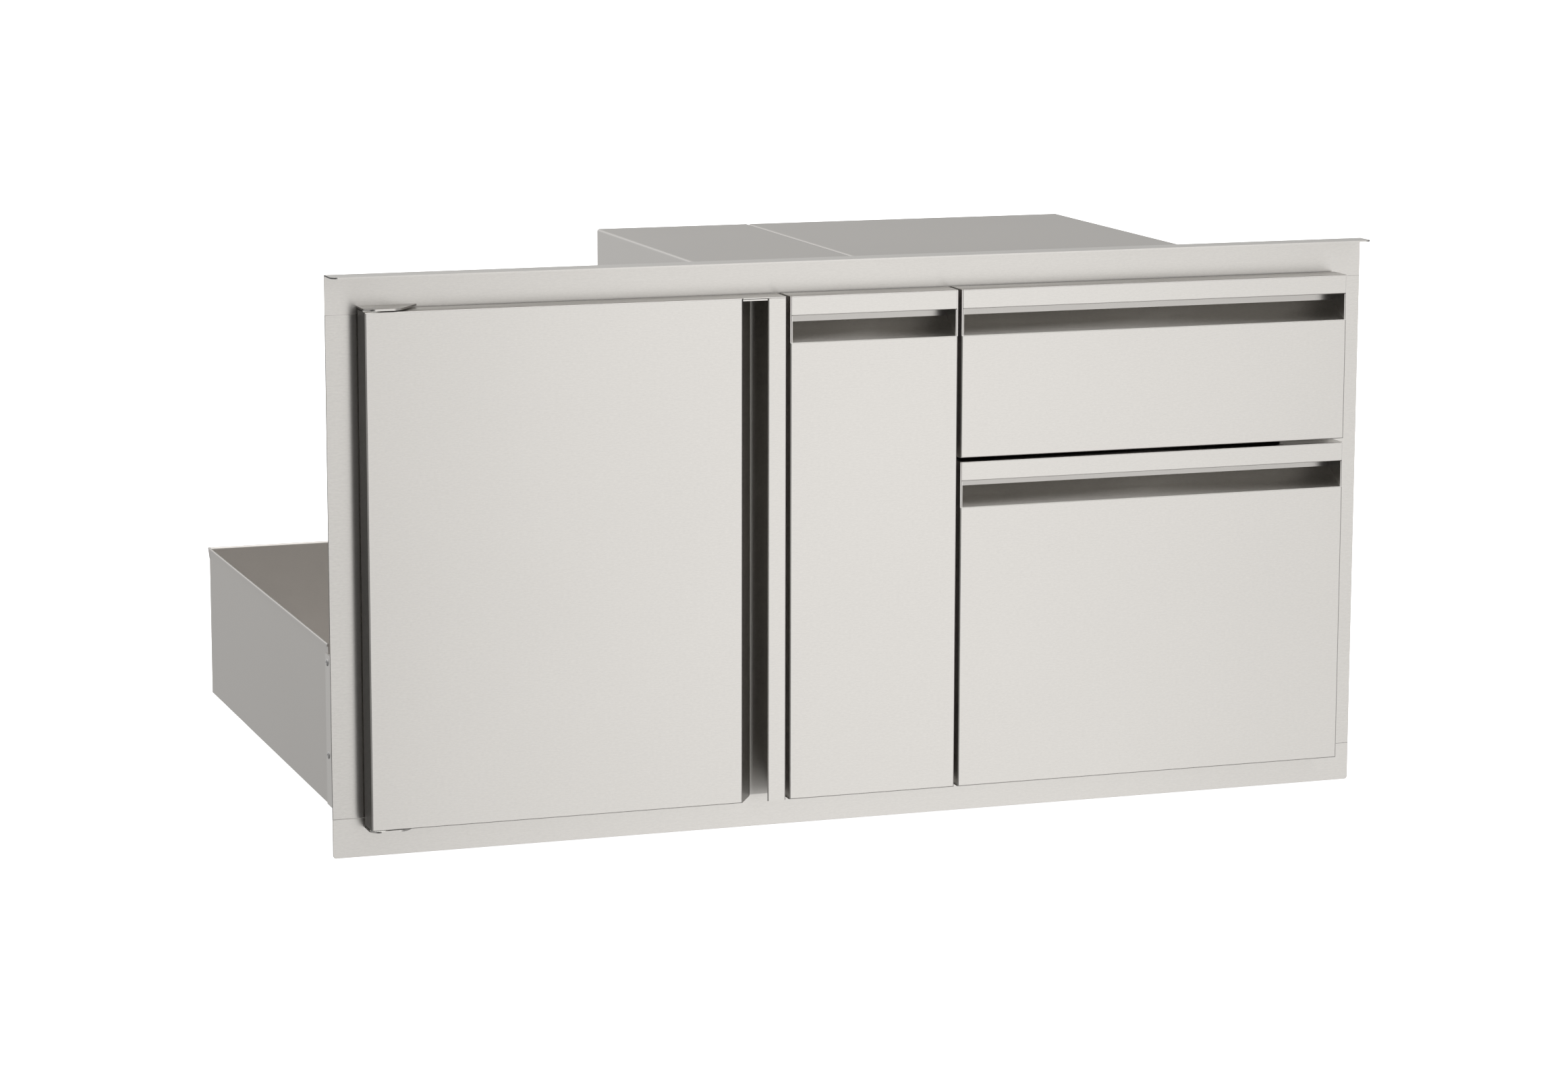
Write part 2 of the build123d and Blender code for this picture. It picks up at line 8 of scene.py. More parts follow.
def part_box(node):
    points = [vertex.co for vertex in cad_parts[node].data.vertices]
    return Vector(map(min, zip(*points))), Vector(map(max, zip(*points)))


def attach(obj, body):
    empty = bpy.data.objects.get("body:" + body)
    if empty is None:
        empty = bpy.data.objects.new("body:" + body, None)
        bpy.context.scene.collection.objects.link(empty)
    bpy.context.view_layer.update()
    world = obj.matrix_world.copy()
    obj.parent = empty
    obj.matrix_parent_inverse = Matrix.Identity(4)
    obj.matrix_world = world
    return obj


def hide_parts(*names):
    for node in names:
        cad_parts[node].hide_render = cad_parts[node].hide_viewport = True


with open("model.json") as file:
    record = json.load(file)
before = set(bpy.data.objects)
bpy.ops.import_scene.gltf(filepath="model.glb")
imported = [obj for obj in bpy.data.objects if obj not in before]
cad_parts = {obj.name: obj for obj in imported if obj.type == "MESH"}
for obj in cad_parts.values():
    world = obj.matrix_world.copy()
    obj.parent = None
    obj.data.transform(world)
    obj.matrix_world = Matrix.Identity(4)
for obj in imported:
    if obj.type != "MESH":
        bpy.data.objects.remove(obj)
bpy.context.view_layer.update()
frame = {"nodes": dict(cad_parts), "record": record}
nodes = frame["nodes"]
print("frame loaded with", len(nodes), "nodes")


# Shader maths: a wire is one output socket, and the operators add Math nodes
class Wire:
    def __init__(self, tree, socket):
        self.tree = tree
        self.socket = socket

    def __add__(self, other):
        return self.tree.math("ADD", self, other)

    def __radd__(self, other):
        return self.tree.math("ADD", other, self)

    def __rsub__(self, other):
        return self.tree.math("SUBTRACT", other, self)

    def __mul__(self, other):
        return self.tree.math("MULTIPLY", self, other)


class Nodes:
    def __init__(self, tree):
        self.tree = tree
        tree.nodes.clear()

    # one node: its settings come first, then the values or wires of its sockets
    def add(self, kind, settings=None, sockets=None, out=0):
        made = self.tree.nodes.new(kind)
        for name, value in (settings or {}).items():
            setattr(made, name, value)
        for name, value in (sockets or {}).items():
            if isinstance(value, Wire):
                self.tree.links.new(value.socket, made.inputs[name])
            else:
                made.inputs[name].default_value = value
        return Wire(self, made.outputs[out]) if made.outputs else made

    def math(self, operation, first, second):
        return self.add("ShaderNodeMath", {"operation": operation}, {0: first, 1: second})

    # the Mix node takes its colours at inputs 6 and 7 and gives one at output 2
    def mixColour(self, factor, first, second):
        return self.add("ShaderNodeMix", {"data_type": "RGBA"}, {0: factor, 6: first, 7: second}, out=2)


def newMaterial(name):
    material = bpy.data.materials.new(name)
    material.use_nodes = True
    return material, Nodes(material.node_tree)


# A colour made darker and lighter by the same share
def shadesOf(colour, share):
    dark = tuple(c * (1.0 - share) for c in colour) + (1.0,)
    light = tuple(min(c * (1.0 + share), 1.0) for c in colour) + (1.0,)
    return dark, light


# Brushed stainless steel: grain is noise drawn out along one axis of the object's own coordinates, coarse and
# fine streaks together, with a broad cloud of noise over them. Spread draws the highlight out across the
# grain, which takes a quarter turn where the grain lies level
steelGrain = {"length": 0.0036, "width": 0.0012, "detail": 2.0, "fineStretch": 3.0, "fineWidth": 0.0006,
              "fineDetail": 1.0, "broken": 0.6, "coarseShare": 0.7, "fineShare": 0.3, "depth": 0.0002,
              "cloud": 0.16, "cloudDetail": 2.0, "levelTurn": 0.25}
steelMix = {"toneGrain": 0.75, "toneCloud": 0.25, "roughGrain": 1.2, "roughCloud": 0.8}
frontGrain = {"roughSpread": 0.03, "shade": 0.15, "bump": 0.06}
foldGrain = {"roughSpread": 0.03, "shade": 0.04, "bump": 0.04}
millGrain = {"roughSpread": 0.05, "shade": 0.05, "bump": 0.1}


def brushedSteel(name, colour, look, rough, along="x", spread=0.0):
    material, mat = newMaterial(name)
    where = mat.add("ShaderNodeTexCoord", out="Object")

    def streaks(width, length, detail):
        scale = {axis: 1.0 / width for axis in "xyz"}
        scale[along] = 1.0 / length
        stretched = mat.add("ShaderNodeMapping", None,
                            {"Vector": where, "Scale": (scale["x"], scale["y"], scale["z"])})
        return mat.add("ShaderNodeTexNoise", None, {"Vector": stretched, "Scale": 1.0, "Detail": detail,
                                                    "Roughness": steelGrain["broken"]})

    coarse = streaks(steelGrain["width"], steelGrain["length"], steelGrain["detail"])
    fineLength = steelGrain["length"] * steelGrain["fineStretch"]
    fine = streaks(steelGrain["fineWidth"], fineLength, steelGrain["fineDetail"])
    cloud = mat.add("ShaderNodeTexNoise", None, {"Vector": where, "Scale": 1.0 / steelGrain["cloud"],
                                                 "Detail": steelGrain["cloudDetail"]})
    grain = coarse * steelGrain["coarseShare"] + fine * steelGrain["fineShare"]
    blend = grain * steelMix["toneGrain"] + cloud * steelMix["toneCloud"]
    tone = mat.mixColour(blend, *shadesOf(colour, look["shade"]))
    uneven = grain * steelMix["roughGrain"] + cloud * steelMix["roughCloud"]
    roughness = rough - look["roughSpread"] + uneven * look["roughSpread"]
    height = mat.add("ShaderNodeBump", None,
                     {"Strength": look["bump"], "Distance": steelGrain["depth"], "Height": grain})
    turn = 0.0 if along == "z" else steelGrain["levelTurn"]
    shader = mat.add("ShaderNodeBsdfPrincipled", None,
                     {"Base Color": tone, "Metallic": 1.0, "Roughness": roughness, "Normal": height,
                      "Anisotropic": spread, "Anisotropic Rotation": turn})
    mat.add("ShaderNodeOutputMaterial", None, {"Surface": shader})
    return material


frontSteel = brushedSteel("front steel", (0.70, 0.685, 0.662), frontGrain, rough=0.3, spread=0.75)
# painted shade: the stiles wear a darker copy of the front steel
shadedStileSteel = brushedSteel("stile steel painted shade", (0.645, 0.631, 0.61), frontGrain, rough=0.26, spread=0.75)
# painted shade: a darker copy of the front steel for the top rail's upward faces, the lip's top among them
shadedLipTop = brushedSteel("lip top steel painted shade", (0.64, 0.627, 0.603), foldGrain, rough=0.3)
# painted shade: the door's back panel, seen at the back of the pull, is darkened to stand for the recess's
# shade
shadedPanelSteel = brushedSteel("door panel steel painted shade", (0.57, 0.556, 0.537), foldGrain, rough=0.34, spread=0.95)
# painted shade: the drawers' back panels, seen inside the pulls, are darkened to stand for the recess's shade
shadedInnerSteel = brushedSteel("inner sheet steel painted shade", (0.51, 0.497, 0.48), foldGrain, rough=0.28)
caseSteel = brushedSteel("case steel", (0.695, 0.682, 0.663), millGrain, rough=0.36, along="y")
# painted shade: a darker copy of the case steel for the cases' upward faces
shadedCaseTop = brushedSteel("case top steel painted shade", (0.49, 0.476, 0.456), millGrain, rough=0.36)
tubSteel = brushedSteel("tub steel", (0.69, 0.675, 0.655), millGrain, rough=0.46, along="y")
# painted light: a lighter copy of the tub steel for the tub's inside, its floor and back wall
litLinerSteel = brushedSteel("tub liner steel painted light", (0.745, 0.72, 0.695), millGrain, rough=0.46)
boxSteel = brushedSteel("box steel", (0.62, 0.61, 0.595), millGrain, rough=0.34, along="y")
slideSteel = brushedSteel("slide steel", (0.58, 0.585, 0.59), millGrain, rough=0.3, along="y")
fastenerSteel = brushedSteel("fastener steel", (0.55, 0.55, 0.55), millGrain, rough=0.28, along="z")

# Plain finishes: one even colour, faintly mottled
mottleLook = {"detail": 3.0, "bump": 0.2, "depth": 0.0002, "roughSpread": 0.05}


def plainFinish(name, colour, rough, shade, scale):
    material, mat = newMaterial(name)
    where = mat.add("ShaderNodeTexCoord", out="Object")
    mottle = mat.add("ShaderNodeTexNoise", None,
                     {"Vector": where, "Scale": scale, "Detail": mottleLook["detail"]})
    tone = mat.mixColour(mottle, *shadesOf(colour, shade))
    height = mat.add("ShaderNodeBump", None,
                     {"Strength": mottleLook["bump"], "Distance": mottleLook["depth"], "Height": mottle})
    roughness = rough - mottleLook["roughSpread"] + mottle * (2 * mottleLook["roughSpread"])
    shader = mat.add("ShaderNodeBsdfPrincipled", None,
                     {"Base Color": tone, "Roughness": roughness, "Normal": height})
    mat.add("ShaderNodeOutputMaterial", None, {"Surface": shader})
    return material


blackRubber = plainFinish("black rubber", (0.03, 0.03, 0.03), rough=0.75, shade=0.3, scale=900.0)
paleNylon = plainFinish("pale nylon", (0.8, 0.79, 0.75), rough=0.45, shade=0.05, scale=500.0)
# painted shade: near black, for the steel faces of the stiles and the top rail that look to the sides
paintedSideShade = plainFinish("side faces painted shade", (0.05, 0.05, 0.05), rough=0.6, shade=0.2, scale=700.0)
coatedMagnet = plainFinish("coated magnet", (0.1, 0.1, 0.11), rough=0.5, shade=0.2, scale=600.0)

finishes = {"front_steel": frontSteel, "case_steel": caseSteel, "box_steel": boxSteel,
            "slide_steel": slideSteel, "fastener_steel": fastenerSteel, "rubber": blackRubber,
            "nylon": paleNylon, "magnet": coatedMagnet}
# painted shade on the drawers' back panels, and painted light on the tub floor
shadedAndLitFinish = {"pullout_back_panel": shadedInnerSteel, "upper_back_panel": shadedInnerSteel, "lower_back_panel": shadedInnerSteel,
             "tub_floor": litLinerSteel}
for part in frame["record"]["subparts"]:
    for worn in nodes[part["node"]].material_slots:
        worn.material = shadedAndLitFinish.get(part["node"], finishes[part["material_slot"]])
print("finishes set")

# Shapes: each returns its points and its faces. The faces come in blocks, each an array of faces with as
# many corners as each other. Outlines are in millimetres and become metres in place()
flatRun = 0.2  # a short flat run beside each bend, so that the bend's shading stays in the bend
tiny = 1e-6  # turns and gaps below this are left out
millimetre = 0.001  # in metres


def unit(vectors):
    return vectors / np.linalg.norm(vectors, axis=-1, keepdims=True)


# Rounds a line's corners. The line leaves each corner r tan(turn / 2) early and follows an arc of radius r:
# a point at angle a of the turn is start + r (sin a along + (1 - cos a) across). Gives points and headings
def roundLine(points, radii, closed, steps=6):
    points = np.asarray(points, float)
    radii = np.broadcast_to(np.asarray(radii, float), len(points))
    before = points - np.roll(points, 1, axis=0)
    after = np.roll(points, -1, axis=0) - points
    if not closed:
        before[0] = after[0]
        after[-1] = before[-1]
    into, out = unit(before), unit(after)
    turn = np.arctan2(into[:, 0] * out[:, 1] - into[:, 1] * out[:, 0], (into * out).sum(axis=1))
    across = np.sign(turn)[:, None] * np.stack((-into[:, 1], into[:, 0]), axis=1)
    start = points - into * (radii * np.tan(np.abs(turn) / 2))[:, None]
    angle = (np.abs(turn)[:, None] * np.linspace(0, 1, steps + 1))[..., None]
    swing = np.sin(angle) * into[:, None] + (1 - np.cos(angle)) * across[:, None]
    arc = start[:, None] + radii[:, None, None] * swing
    heading = np.cos(angle) * into[:, None] + np.sin(angle) * across[:, None]
    run = np.where((radii > 0) & (np.abs(turn) > tiny), flatRun, 0.0)[:, None, None]
    first = arc[:, :1] - run * heading[:, :1]
    last = arc[:, -1:] + run * heading[:, -1:]
    line = np.concatenate((first, arc, last), axis=1).reshape(-1, 2)
    heading = np.concatenate((heading[:, :1], heading, heading[:, -1:]), axis=1).reshape(-1, 2)
    keep = np.linalg.norm(line - np.roll(line, 1, axis=0), axis=1) > tiny
    keep[0] = keep[0] or not closed
    return line[keep], heading[keep]


def turnOver(blocks):
    return [block[:, ::-1] for block in blocks]


# Puts flat points and a third coordinate on the named axes, and turns the faces over on left-handed axes
def place(flat, third, axes, blocks):
    order = ["xyz".index(axis) for axis in axes]
    points = np.empty((len(flat), 3))
    points[:, order[0]] = flat[:, 0]
    points[:, order[1]] = flat[:, 1]
    points[:, order[2]] = third
    if np.linalg.det(np.eye(3)[order]) < 0:
        blocks = turnOver(blocks)
    return points * millimetre, blocks


# Quads between neighbouring rings of points, and the two faces that close the first and the last ring
def ringFaces(count, rings):
    step = np.arange(count)
    base = (np.arange(rings - 1) * count)[:, None]
    ahead = (step + 1) % count
    quads = np.stack((base + step, base + ahead, base + count + ahead, base + count + step), axis=-1)
    return quads.reshape(-1, 4)


def endFaces(count, rings):
    ring = np.arange(count)
    return np.stack((ring[::-1], ring + count * (rings - 1)))


# A plate: an outline carried from low to high, drawn in at both ends on a quarter round of radius ease,
# so a ring at angle a is in by ease (1 - sin a) and up by ease (1 - cos a)
def plate(points, radii, low, high, axes, ease, steps=3):
    loop = roundLine(points, radii, True)[0]
    if (loop[:, 0] * np.roll(loop[:, 1], -1) - np.roll(loop[:, 0], -1) * loop[:, 1]).sum() < 0:
        loop = loop[::-1]
    edge = unit(np.roll(loop, -1, axis=0) - loop)
    normal = np.stack((edge[:, 1], -edge[:, 0]), axis=1)
    last = np.roll(normal, 1, axis=0)
    mitre = (normal + last) / (1 + (normal * last).sum(axis=1, keepdims=True))
    angle = np.linspace(0, np.pi / 2, steps + 1)
    draw = np.concatenate(([ease + flatRun], ease * (1 - np.sin(angle)), [0]))
    rise = np.concatenate(([0], ease * (1 - np.cos(angle)), [ease + flatRun]))
    inset = np.concatenate((draw, draw[::-1]))
    level = np.concatenate((low + rise, (high - rise)[::-1]))
    flat = loop[None] - mitre[None] * inset[:, None, None]
    count, rings = len(loop), len(level)
    blocks = [ringFaces(count, rings), endFaces(count, rings)]
    return place(flat.reshape(-1, 2), np.repeat(level, count), axes, blocks)


# A folded sheet: a bent line with its own thickness to the left, carried along the third axis. trim(loop)
# says how far each end of the sheet is cut back at each point of the loop round the sheet's section
def foldedSheet(points, radii, thickness, low, high, axes, trim=None, steps=6):
    line, heading = roundLine(points, radii, False, steps)
    other = line + thickness * np.stack((-heading[:, 1], heading[:, 0]), axis=1)
    loop = np.concatenate((line, other[::-1]))
    if thickness < 0:
        loop = loop[::-1]
    cut = np.zeros(len(loop)) if trim is None else trim(loop)
    flat = np.concatenate((loop, loop))
    third = np.concatenate((low + cut, high - cut))
    count = len(loop)
    step = np.arange(len(line) - 1)
    lowEnd = np.stack((step + 1, step, count - 1 - step, count - 2 - step), axis=-1)
    highEnd = lowEnd[:, ::-1] + count
    return place(flat, third, axes, [np.concatenate((ringFaces(count, 2), lowEnd, highEnd))])


# A turned piece: a profile of radius and height spun round its own axis at a centre. A sense of -1 points it
# the other way along that axis
def turned(radius, height, centre, axes, segments, sense=1):
    angle = np.linspace(0, 2 * np.pi, segments, endpoint=False)
    radius, height = np.asarray(radius, float), np.asarray(height, float)
    flat = np.stack((radius[:, None] * np.cos(angle), radius[:, None] * np.sin(angle)), axis=-1)
    third = np.repeat(height * sense, segments)
    blocks = [ringFaces(segments, len(radius)), endFaces(segments, len(radius))]
    points, blocks = place(flat.reshape(-1, 2), third, axes, turnOver(blocks) if sense < 0 else blocks)
    return points + np.asarray(centre) * millimetre, blocks


# A pan-head screw: its height falls off with radius as a low dome, less a cross-shaped recess.
# Widths are shares of the head's radius, and the recess is a share of its rise
screwShape = {"hub": 0.05, "power": 2.6, "arm": 0.2, "armFade": 0.08, "reach": 0.62, "reachFade": 0.12,
              "recess": 0.55}


def crossScrew(centre, axes, head, rise, sense=1, rings=12, segments=40):
    look = screwShape
    spin = np.linspace(0, 2 * np.pi, segments, endpoint=False)
    r, angle = np.meshgrid(np.linspace(look["hub"], 1, rings) * head, spin, indexing="ij")
    x, y = r * np.cos(angle), r * np.sin(angle)
    dome = rise * np.sqrt(np.clip(1 - (r / head) ** look["power"], 0, 1))
    nearest = np.minimum(np.abs(x), np.abs(y))
    slot = np.clip((look["arm"] * head - nearest) / (look["armFade"] * head), 0, 1)
    slot *= np.clip((look["reach"] * head - r) / (look["reachFade"] * head), 0, 1)
    height = (dome - look["recess"] * rise * slot) * sense
    flat = np.stack((x, y), axis=-1)[::-1].reshape(-1, 2)
    blocks = [ringFaces(segments, rings), endFaces(segments, rings)]
    third = height[::-1].reshape(-1)
    points, blocks = place(flat, third, axes, turnOver(blocks) if sense < 0 else blocks)
    return points + np.asarray(centre) * millimetre, blocks


# A pressed panel: a grid over a and b, with its face at height(a, b) and its back a thickness behind
def pressedPanel(a, b, height, thickness, axes):
    gridA, gridB = np.meshgrid(a, b, indexing="ij")
    face = height(gridA, gridB).reshape(-1)
    flat = np.stack((gridA, gridB), axis=-1).reshape(-1, 2)
    index = np.arange(gridA.size).reshape(gridA.shape)
    front = np.stack((index[:-1, :-1], index[1:, :-1], index[1:, 1:], index[:-1, 1:]), axis=-1).reshape(-1, 4)
    back = front[:, ::-1] + gridA.size
    rim = np.concatenate((index[:, 0], index[-1, 1:], index[-2::-1, -1], index[0, -2:0:-1]))
    ahead = np.roll(rim, -1)
    wall = np.stack((rim + gridA.size, ahead + gridA.size, ahead, rim), axis=-1)
    third = np.concatenate((face, face - thickness))
    return place(np.concatenate((flat, flat)), third, axes, [np.concatenate((front, back, wall))])


# A step from 0 to 1 that starts and ends level: 3 v^2 - 2 v^3
def smooth(value):
    value = np.clip(value, 0, 1)
    return value * value * (3 - 2 * value)


sharpAngle = 40.0  # degrees between faces from which an edge is drawn sharp


# One object from one or more shapes, riding on a body, with its finish and the nodes that it stands for
def addPiece(name, shapes, body, slot, finish=None, stands=()):
    starts = np.cumsum([0] + [len(points) for points, blocks in shapes])
    faces = []
    for start, (points, blocks) in zip(starts, shapes):
        for block in blocks:
            faces += (block + start).tolist()
    mesh = bpy.data.meshes.new(name)
    mesh.from_pydata(np.concatenate([points for points, blocks in shapes]), [], faces)
    mesh.shade_smooth()
    mesh.set_sharp_from_angle(angle=math.radians(sharpAngle))
    mesh.materials.append(finish or finishes[slot])
    piece = bpy.data.objects.new(name, mesh)
    bpy.context.scene.collection.objects.link(piece)
    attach(piece, body)
    if stands:
        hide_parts(*stands)
    return piece


shadeFacing = {"top": 0.7, "sides": 0.3}  # least share of a face's normal that looks up, or to a side


# Gives the faces that look up, or to the sides, a darker finish of their own: painted shade by the way each
# face looks
def paintFacingShade(piece, top=None, sides=None):
    normals = np.empty(len(piece.data.polygons) * 3, np.float32)
    piece.data.polygons.foreach_get("normal", normals)
    normals = normals.reshape(-1, 3)
    index = np.zeros(len(normals), np.int32)
    up, across = normals[:, 2] > shadeFacing["top"], np.abs(normals[:, 0]) > shadeFacing["sides"]
    for finish, chosen in ((top, up), (sides, across)):
        if finish:
            index[chosen] = len(piece.data.materials)
            piece.data.materials.append(finish)
    piece.data.polygons.foreach_set("material_index", index)


# A node's lowest and highest corners, in millimetres
def corners(node):
    low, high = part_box(node)
    return np.array(low) * 1000, np.array(high) * 1000


# The outline of a box on axes a and b
def rectangle(low, high, a, b):
    return [(low[a], low[b]), (high[a], low[b]), (high[a], high[b]), (low[a], high[b])]


# Face frame: plates with eased edges, which show as hairlines where they butt together
frameLook = {"ease": 0.15, "cornerRadius": 3.0, "mullion": 20.0}


def addFaceFrame(look):
    def upright(low, high, radii=0):
        return plate(rectangle(low, high, 0, 2), radii, low[1], high[1], "xzy", look["ease"])

    r = look["cornerRadius"]
    rail = upright(*corners("frame_bottom_rail"), [r, r, 0, 0])
    addPiece("bottom_rail", [rail], "cabinet", "front_steel", stands=["frame_bottom_rail"])
    sideNodes = ["frame_left_stile", "frame_right_stile"]
    stiles = [upright(*corners(node)) for node in sideNodes]
    # painted shade: the stiles take a darker copy of the front steel, and their faces that look to the sides
    # are near black
    paintFacingShade(addPiece("stiles", stiles, "cabinet", "front_steel", shadedStileSteel, sideNodes), sides=paintedSideShade)
    low, high = corners("frame_mullions")
    left, right = high.copy(), low.copy()
    left[0] = low[0] + look["mullion"]
    right[0] = high[0] - look["mullion"]
    mullions = [upright(low, left), upright(right, high)]
    addPiece("mullions", mullions, "cabinet", "front_steel", stands=["frame_mullions"])


# Top rail and rain lip: one sheet, bent forward at the top, with the lip's two front corners rounded
lipLook = {"bend": 2.0, "sheet": 1.3, "corner": 6.5, "cornerSteps": 9, "lastStep": 0.4, "under": 1.0}


def addTopRail(look):
    low, high = corners("frame_top_rail")
    lipLow = corners("rain_lip")[0]
    r = look["corner"]
    sweep = np.radians(np.append(np.linspace(0, 90 - look["lastStep"], look["cornerSteps"]), 90))
    reach = lipLow[1] + r * (1 - np.sin(sweep))
    back = low[1] + look["sheet"]
    line = [(back, low[2]), (back, high[2])] + [(y, high[2]) for y in reach]

    # the lip's end is cut back by r - sqrt(r^2 - (r - d)^2), where d is the distance from its front edge.
    # The rail below the lip isn't cut
    def trim(loop):
        d = np.clip(loop[:, 0] - lipLow[1], 0, r)
        inLip = loop[:, 1] > lipLow[2] - look["under"]
        return (r - np.sqrt(np.maximum(r * r - (r - d) ** 2, 0))) * inLip

    bends = [0, look["bend"]] + [0] * len(reach)
    sheet = foldedSheet(line, bends, look["sheet"], low[0], high[0], "yzx", trim)
    rail = addPiece("top_rail", [sheet], "cabinet", "front_steel", stands=["frame_top_rail", "rain_lip"])
    # painted shade: the upward faces are darkened, and the faces that look to the sides are near black
    paintFacingShade(rail, shadedLipTop, paintedSideShade)


# Cases: each a top and two walls in one sheet, folded along both upper edges
caseLook = {"fold": 2.4, "sheet": 1.2}


def addCases(look):
    for name in ("narrow", "right"):
        low, high = corners(name + "_case_walls")
        top = corners(name + "_case_top")[1][2]
        line = [(low[0], low[2]), (low[0], top), (high[0], top), (high[0], low[2])]
        skin = foldedSheet(line, [0, look["fold"], look["fold"], 0], -look["sheet"], low[1], high[1], "xzy")
        case = addPiece(name + "_case", [skin], "cabinet", "case_steel",
                        stands=[name + "_case_walls", name + "_case_top"])
        # painted shade: the case tops are darker than the walls
        paintFacingShade(case, shadedCaseTop)


# Tub's sides: the left one has a notch near its front and a top rolled outwards, and the right one is plain
tubSideLook = {"sheet": 1.2, "ease": 0.35, "notchStart": 50.0, "notchWidth": 8.0, "notchDepth": 10.0,
               "notchCorner": 1.5, "rollWidth": 2.5, "rollFold": 1.24, "rollDrop": 2.8}


def addTubSides(look):
    low, high = corners("tub_side_walls")
    sheet, corner, fold = look["sheet"], look["notchCorner"], look["rollFold"]
    start, end = look["notchStart"], look["notchStart"] + look["notchWidth"]
    floor = high[2] - look["notchDepth"]
    outline = [(low[1], low[2]), (end, low[2]), (end, floor), (start, floor), (start, high[2]),
               (low[1], high[2])]
    front = plate(outline, [0, 0, 0, corner, corner, 0], low[0], low[0] + sheet, "yzx", look["ease"])
    inside = low[0] + sheet
    outside = inside - look["rollWidth"]
    line = [(inside, low[2]), (inside, high[2]), (outside, high[2]), (outside, high[2] - look["rollDrop"])]
    left = foldedSheet(line, [0, fold, fold, 0], sheet, end, high[1], "xzy")
    right = plate(rectangle(low, high, 1, 2), 0, high[0] - sheet, high[0], "yzx", look["ease"])
    addPiece("tub_sides", [front, left, right], "cabinet", "case_steel", tubSteel, ["tub_side_walls"])


# Tub's back: its top is hemmed outwards and down, and a small plate closes each end of the hem
tubBackLook = {"sheet": 1.2, "fold": 1.9, "reach": 9.0, "fall": 1.0, "drop": 12.5, "stand": 0.8,
               "end": 1.0, "endEase": 0.2, "endCorner": 1.0, "endBack": 0.2, "endTop": 0.4,
               "endFront": 0.3, "endFall": 1.3}


def addTubBack(look):
    low, high = corners("tub_back_wall")
    lip = (high[1] - look["reach"] + look["stand"], high[2] - look["drop"])
    line = [(low[1], low[2]), (low[1], high[2]), (high[1], high[2] - look["fall"]), lip]
    back = foldedSheet(line, [0, look["fold"], look["fold"], 0], -look["sheet"], low[0], high[0], "yzx")
    hem = [(low[1] + look["endBack"], high[2] - look["endTop"]),
           (high[1] - look["endFront"], high[2] - look["endFall"]), lip, (low[1] + look["endBack"], lip[1])]
    ends = [plate(hem, [0, look["endCorner"], 0, 0], x, x + look["end"], "yzx", look["endEase"])
            for x in (low[0], high[0] - look["end"])]
    # painted light: the back wall wears the lighter liner steel
    addPiece("tub_back", [back] + ends, "cabinet", "case_steel", litLinerSteel, ["tub_back_wall"])


# Blind rivets: a low dome with the dimple left by its mandrel, on the tub and along the case backs.
# The dome is cut off at a share of a half turn, and the dimple's radii and heights are shares of the head's
rivetLook = {"head": 3.6, "rise": 1.4, "dome": 0.4, "domeSteps": 7, "dimple": (0.32, 0.28, 0.25, 0.08),
             "dimpleHeight": (0.99, 0.9, 0.5, 0.46), "segments": 28, "levels": (178.9, 87.9),
             "setback": 57.0, "backInset": 9.0, "backMargin": 34.0, "backRows": 5}


def addRivets(look):
    angle = np.linspace(0, look["dome"] * np.pi, look["domeSteps"])[:-1]
    radius = look["head"] * np.concatenate((np.cos(angle), look["dimple"]))
    height = look["rise"] * np.concatenate((np.sin(angle), look["dimpleHeight"]))
    seat = corners("tub_rivets")[0][0] + look["rise"]
    heads = [turned(radius, height, (seat, look["setback"], z), "yzx", look["segments"], -1)
             for z in look["levels"]]
    addPiece("rivet_heads", heads, "cabinet", "fastener_steel", stands=["tub_rivets"])
    heads = []
    for name in ("narrow", "right"):
        low, high = corners(name + "_case_walls")
        levels = np.linspace(low[2] + look["backMargin"], high[2] - look["backMargin"], look["backRows"])
        heads += [turned(radius, height, (x, high[1], z), "xzy", look["segments"])
                  for x in (low[0] + look["backInset"], high[0] - look["backInset"]) for z in levels]
    addPiece("case_back_rivets", heads, "cabinet", "fastener_steel")


# Drawer slides: an outer, a middle and an inner channel on each side, with screws into the box
slideLook = {"sheet": 1.2, "step": 1.55, "width": 12.7, "setback": 1.5, "height": 45.0, "bend": 1.7,
             "screwHead": 4.2, "screwRise": 1.9, "screwPlaces": (48.0, 272.0, 500.0)}


def addSlides(name, body, runners, look):
    low, high = corners(name + "_slide_outers")
    middle, half = (low[2] + high[2]) / 2, look["height"] / 2
    step, bend, width = look["step"], look["bend"], look["width"]

    def channel(web, tip, half):
        line = [(tip, middle - half), (web, middle - half), (web, middle + half), (tip, middle + half)]
        thickness = look["sheet"] if web > tip else -look["sheet"]
        return foldedSheet(line, [0, bend, bend, 0], thickness, low[1], high[1], "xzy")

    outers, middles, inners, screws = [], [], [], []
    for mount, way in ((low[0], 1), (high[0], -1)):
        tip = width - step
        outers.append(channel(mount, mount + way * (tip - look["setback"]), half))
        middles.append(channel(mount + way * step, mount + way * tip, half - step))
        inners.append(channel(mount + way * width, mount + way * 2 * step, half - 2 * step))
        seat = mount + way * (width - look["sheet"])
        screws += [crossScrew((seat, y, middle), "yzx", look["screwHead"], look["screwRise"], -way)
                   for y in look["screwPlaces"]]
    addPiece(name + "_outer_rails", outers, "cabinet", "slide_steel", stands=[name + "_slide_outers"])
    addPiece(name + "_middle_rails", middles, runners, "slide_steel", stands=[name + "_slide_middles"])
    addPiece(name + "_inner_rails", inners, body, "slide_steel", stands=[name + "_slide_inners"])
    addPiece(name + "_rail_screws", screws, body, "fastener_steel")


